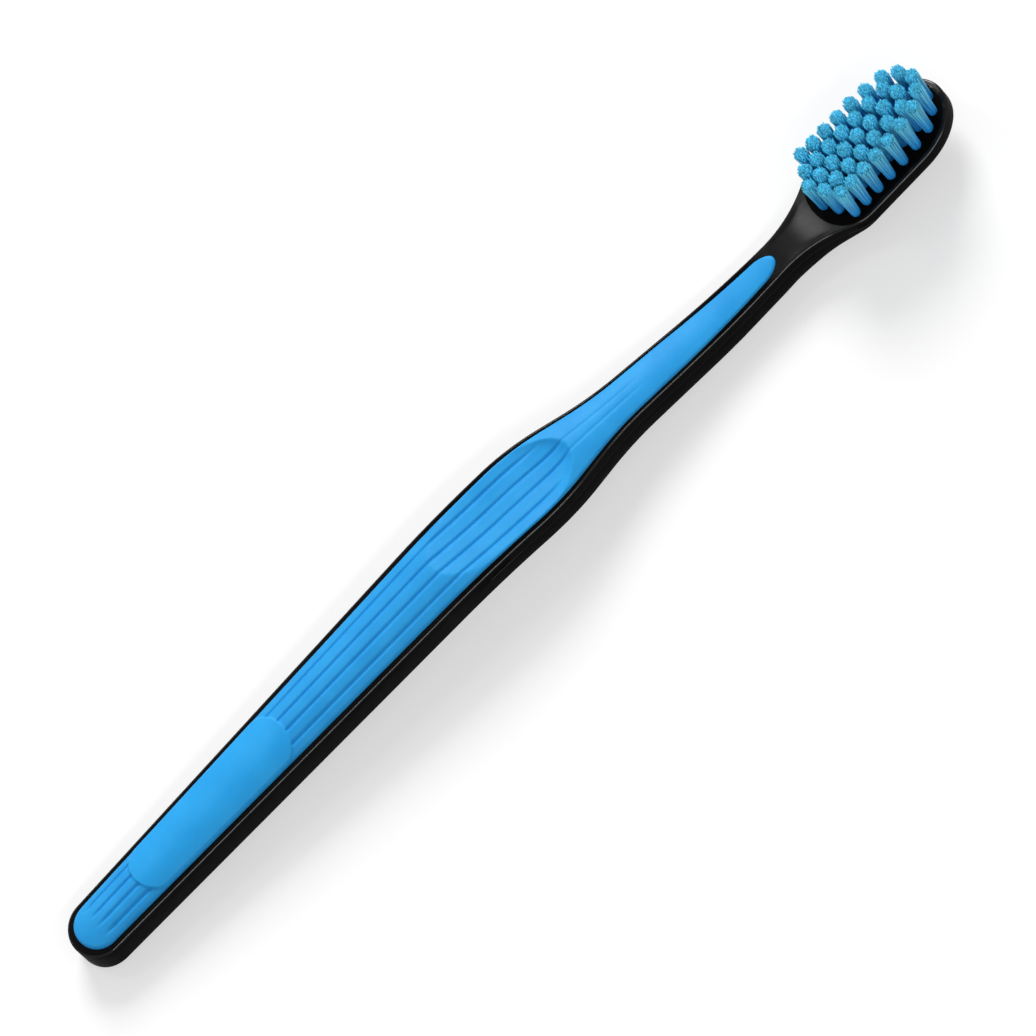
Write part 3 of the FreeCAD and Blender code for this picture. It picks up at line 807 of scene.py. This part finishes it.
# Tufts: bundles of blue nylon filament, folded over their anchors and splayed a little at the tips.
# Each filament is a separate thin rod with a ground, rounded end, and the bundle's end is trimmed to a dome.
FILAMENTS = 62
FILAMENT_RADIUS = 0.085
FLAGGED_RADIUS = 0.11      # at the split, flagged tip
FOOT_RADIUS = 0.76
TIP_RADIUS = 1.22
TIP_DOME = 0.75
TIP_SCATTER = 0.26
TIP_LIFT = 0.1
TIP_WANDER = 0.04
BEND_LEAST = 0.4           # share of a filament's lean that comes as a bend
BEND_SPAN = 0.2
CORE_GAP = 0.36            # tightly packed middle of the bundle, below the tips
SUNK = 1.2
SIDES = 6
CORE_SIDES = 24
GOLDEN_TURN = math.pi * (3 - math.sqrt(5))
FILAMENT_STEPS = (         # share of the length, and of the radius
    (0.0, 1.0), (0.35, 1.0), (0.65, 1.0), (0.85, 1.0), (0.975, 1.0), (0.993, 0.8), (1.0, 0.4)
)
# Darker blue at the feet and lighter at the tips: painted shade deep in the bundle and painted light on the
# tops.
SHADED_FOOT_BLUE = (0.018, 0.38, 0.95)
LIT_TIP_BLUE = (0.18, 0.79, 1.0)
BLUE_SPAN = (0.1, 0.97)    # shares of the length between which the blue grows lighter
FILAMENT_SHADES = (0.7, 1.33)
NYLON_ROUGH_SCALE = 3000
NYLON_ROUGHNESS = (0.32, 0.45)


def add_filament(mesh, along, foot, tip, spread):
    """One filament from its foot to its tip: it leaves straight and bends outwards."""
    rings = []
    for share, width in FILAMENT_STEPS:
        bend = spread * share ** 2 + (1 - spread) * share
        centre = Vector((foot.x + (tip.x - foot.x) * bend, foot.y + (tip.y - foot.y) * bend, 0))
        centre.z = foot.z + (tip.z - foot.z) * share
        ring = []
        for i in range(SIDES):
            angle = 2 * math.pi * i / SIDES
            radius = FILAMENT_RADIUS + (FLAGGED_RADIUS - FILAMENT_RADIUS) * share
            out = Vector((math.cos(angle), math.sin(angle), 0)) * radius * width
            vertex = mesh.verts.new((centre + out) * MM)
            vertex[along] = share
            ring.append(vertex)
        rings.append(ring)
    close_tube(mesh, rings)


def add_core(mesh, along, length):
    """The tightly packed middle filaments, as one closed core inside the loose ones. Its colour is painted
    shade in the gaps between them.
    """
    rings = []
    # The shares along are set low, so that the core takes the darker blue of painted shade.
    for share, z, radius in (    # share along for the colour, height and radius
        (0.0, -SUNK, FOOT_RADIUS * 0.85),
        (0.1, length * 0.4, FOOT_RADIUS + (TIP_RADIUS - FOOT_RADIUS) * 0.22),
        (0.35, length - CORE_GAP - TIP_DOME * 0.7, TIP_RADIUS * 0.8),
        (0.6, length - CORE_GAP - TIP_DOME * 0.3, TIP_RADIUS * 0.56),
        (0.6, length - CORE_GAP, TIP_RADIUS * 0.2),
    ):
        ring = []
        for i in range(CORE_SIDES):
            angle = 2 * math.pi * i / CORE_SIDES
            vertex = mesh.verts.new(Vector((radius * math.cos(angle), radius * math.sin(angle), z)) * MM)
            vertex[along] = share
            ring.append(vertex)
        rings.append(ring)
    close_tube(mesh, rings)


nylon, shader, link, add = new_material("blue_nylon_filament")
share_along = add("ShaderNodeAttribute", attribute_name="along").outputs["Fac"]
each = add("ShaderNodeNewGeometry").outputs["Random Per Island"]
# Ramp along each filament from the darker foot to the lighter tip: painted shade and painted light.
painted_shade_ramp = add("ShaderNodeValToRGB")
for element, position, colour in zip(painted_shade_ramp.color_ramp.elements, BLUE_SPAN, (SHADED_FOOT_BLUE, LIT_TIP_BLUE)):
    element.position = position
    element.color = (*colour, 1)
link(share_along, painted_shade_ramp.inputs["Fac"])
shade = add("ShaderNodeHueSaturation")
link(respan(add, link, each, 0, 1, *FILAMENT_SHADES), shade.inputs["Value"])
link(painted_shade_ramp.outputs["Color"], shade.inputs["Color"])
link(shade.outputs["Color"], shader.inputs["Base Color"])
spot = add("ShaderNodeTexCoord").outputs["Object"]
link(uneven(add, link, spot, NYLON_ROUGH_SCALE, *NYLON_ROUGHNESS), shader.inputs["Roughness"])
shader.inputs["Specular IOR Level"].default_value = 0.12

for number, name in enumerate(tuft_names):
    chance = random.Random(number)
    foot, tip = tuft_ends(name)
    length = (tip - foot).length / MM - HOLE_DEPTH
    bundle = bmesh.new()
    along = bundle.verts.layers.float.new("along")
    turn = chance.uniform(0, 2 * math.pi)
    add_core(bundle, along, length)
    for i in range(FILAMENTS):
        share = math.sqrt((i + 0.5) / FILAMENTS)
        angle = turn + GOLDEN_TURN * i
        way = Vector((math.cos(angle), math.sin(angle), 0))
        scatter = Vector((chance.gauss(0, TIP_WANDER), chance.gauss(0, TIP_WANDER), 0))
        start = way * FOOT_RADIUS * share
        start.z = -SUNK
        end = way * TIP_RADIUS * share + scatter
        end.z = length + TIP_LIFT - TIP_DOME * share ** 2 + chance.uniform(-TIP_SCATTER, TIP_SCATTER)
        add_filament(bundle, along, start, end, BEND_LEAST + BEND_SPAN * chance.random())
    tuft = new_piece(name + "_filaments", bundle, sharp_degrees=60)
    tuft.data.transform(Matrix.Translation(foot + tuft_axis * HOLE_DEPTH * MM) @ tuft_turn)
    tuft.data.materials.append(nylon)
    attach(tuft, "root")
    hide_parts(name)

# Floor: a plain pale sweep that the brush lies on, a studio prop and no part of the brush.
# It is white to the camera and still takes the brush's shadow.
FLOOR_HALF = 6.0
FLOOR_SEGMENTS = 8
FLOOR_GAP = 0.0002
FLOOR_GREYS = ((0.53, 0.53, 0.53), (0.55, 0.55, 0.55))
FLOOR_PATCH_SCALE = 6
FLOOR_GLOW = 0.5
ground = bmesh.new()
bmesh.ops.create_grid(ground, x_segments=FLOOR_SEGMENTS, y_segments=FLOOR_SEGMENTS, size=FLOOR_HALF)
floor = new_piece("floor", ground)
floor.location.z = cad_low.z - FLOOR_GAP
white, shader, link, add = new_material("white_sweep")
spot = add("ShaderNodeTexCoord").outputs["Object"]
link(mottled(add, link, spot, FLOOR_PATCH_SCALE, *FLOOR_GREYS), shader.inputs["Base Color"])
shader.inputs["Roughness"].default_value = 0.9
shader.inputs["Specular IOR Level"].default_value = 0.0
floor.data.materials.append(white)


def white_to_camera(tree, link):
    """1 where a ray comes from the camera, a reflection or a see-through surface."""
    path = tree.nodes.new("ShaderNodeLightPath")
    either = path.outputs["Is Camera Ray"]
    for name in ("Is Glossy Ray", "Is Transmission Ray"):
        larger = tree.nodes.new("ShaderNodeMath")
        larger.operation = "MAXIMUM"
        link(either, larger.inputs[0])
        link(path.outputs[name], larger.inputs[1])
        either = larger.outputs["Value"]
    return either


tree = white.node_tree
glow = tree.nodes.new("ShaderNodeMath")
glow.operation = "MULTIPLY"
glow.inputs[1].default_value = FLOOR_GLOW
link(white_to_camera(tree, link), glow.inputs[0])
link(glow.outputs["Value"], shader.inputs["Emission Strength"])
shader.inputs["Emission Color"].default_value = (1, 1, 1, 1)

# Light: a pale studio tent that is darker overhead. A large soft key lamp stands on the far side, towards the
# head. A small sheen lamp shows in the front of the neck and at the toe, and a long strip lamp over the near
# side shows in the bevel of the rim.
TENT_TOP = 0.3
TENT_SIDES = 0.45
world = bpy.data.worlds.new("studio_tent")
bpy.context.scene.world = world
world.use_nodes = True
tree = world.node_tree
way = tree.nodes.new("ShaderNodeTexCoord")
upward = tree.nodes.new("ShaderNodeSeparateXYZ")
tent = tree.nodes.new("ShaderNodeMapRange")
tent.inputs["To Min"].default_value = TENT_SIDES
tent.inputs["To Max"].default_value = TENT_TOP
tree.links.new(way.outputs["Generated"], upward.inputs["Vector"])
tree.links.new(upward.outputs["Z"], tent.inputs["Value"])
tree.links.new(tent.outputs["Result"], tree.nodes["Background"].inputs["Strength"])
tree.nodes["Background"].inputs["Color"].default_value = (1, 1, 1, 1)


def add_lamp(name, place, width, height, power):
    """Soft lamp that faces the brush."""
    lamp = bpy.data.lights.new(name, "AREA")
    lamp.shape = "RECTANGLE"
    lamp.size = width
    lamp.size_y = height
    lamp.energy = power
    lamp_object = bpy.data.objects.new(name, lamp)
    bpy.context.collection.objects.link(lamp_object)
    lamp_object.location = place
    lamp_object.rotation_euler = (-Vector(place)).to_track_quat("-Z", "Y").to_euler()


add_lamp("key_lamp", place=(1.0, 1.6, 1.5), width=1.0, height=1.0, power=46.0)
add_lamp("sheen_lamp", place=(-0.19, 0.415, 0.885), width=0.16, height=0.16, power=0.68)
add_lamp("strip_lamp", place=(0.0, -0.58, 0.81), width=0.8, height=0.06, power=1.6)

# Camera: a long lens high over the brush, tipped towards its near side and turned so that the brush
# lies from lower left to upper right in a square picture.
PICTURE = 1036
PIXELS_PER_METRE = 6412.7
CAMERA_DISTANCE = 3.0
CAMERA_TIP = math.radians(24.54)
CAMERA_LEAN = math.radians(0.27)
CAMERA_TURN = math.radians(44.63)
MIDDLE_RIGHT = -0.50 * MM     # picture's middle from the frame's origin
MIDDLE_UP = 2.27 * MM
SENSOR = 36.0
CLIP_END = 20.0
tipped = Matrix.Rotation(-CAMERA_TIP, 3, "X")
leaned = Matrix.Rotation(CAMERA_LEAN, 3, "Y")
turned = Matrix.Rotation(CAMERA_TURN, 3, "Z")
axes = (turned @ leaned @ tipped).transposed()
stand = axes @ Vector((MIDDLE_RIGHT, MIDDLE_UP, CAMERA_DISTANCE))
camera_data = bpy.data.cameras.new("camera")
camera_data.sensor_width = SENSOR
camera_data.lens = PIXELS_PER_METRE * CAMERA_DISTANCE / PICTURE * SENSOR
camera_data.clip_end = CLIP_END
camera = bpy.data.objects.new("camera", camera_data)
bpy.context.collection.objects.link(camera)
camera.matrix_world = Matrix.Translation(stand) @ axes.to_4x4()
bpy.context.scene.camera = camera
bpy.context.scene.view_settings.view_transform = "Standard"
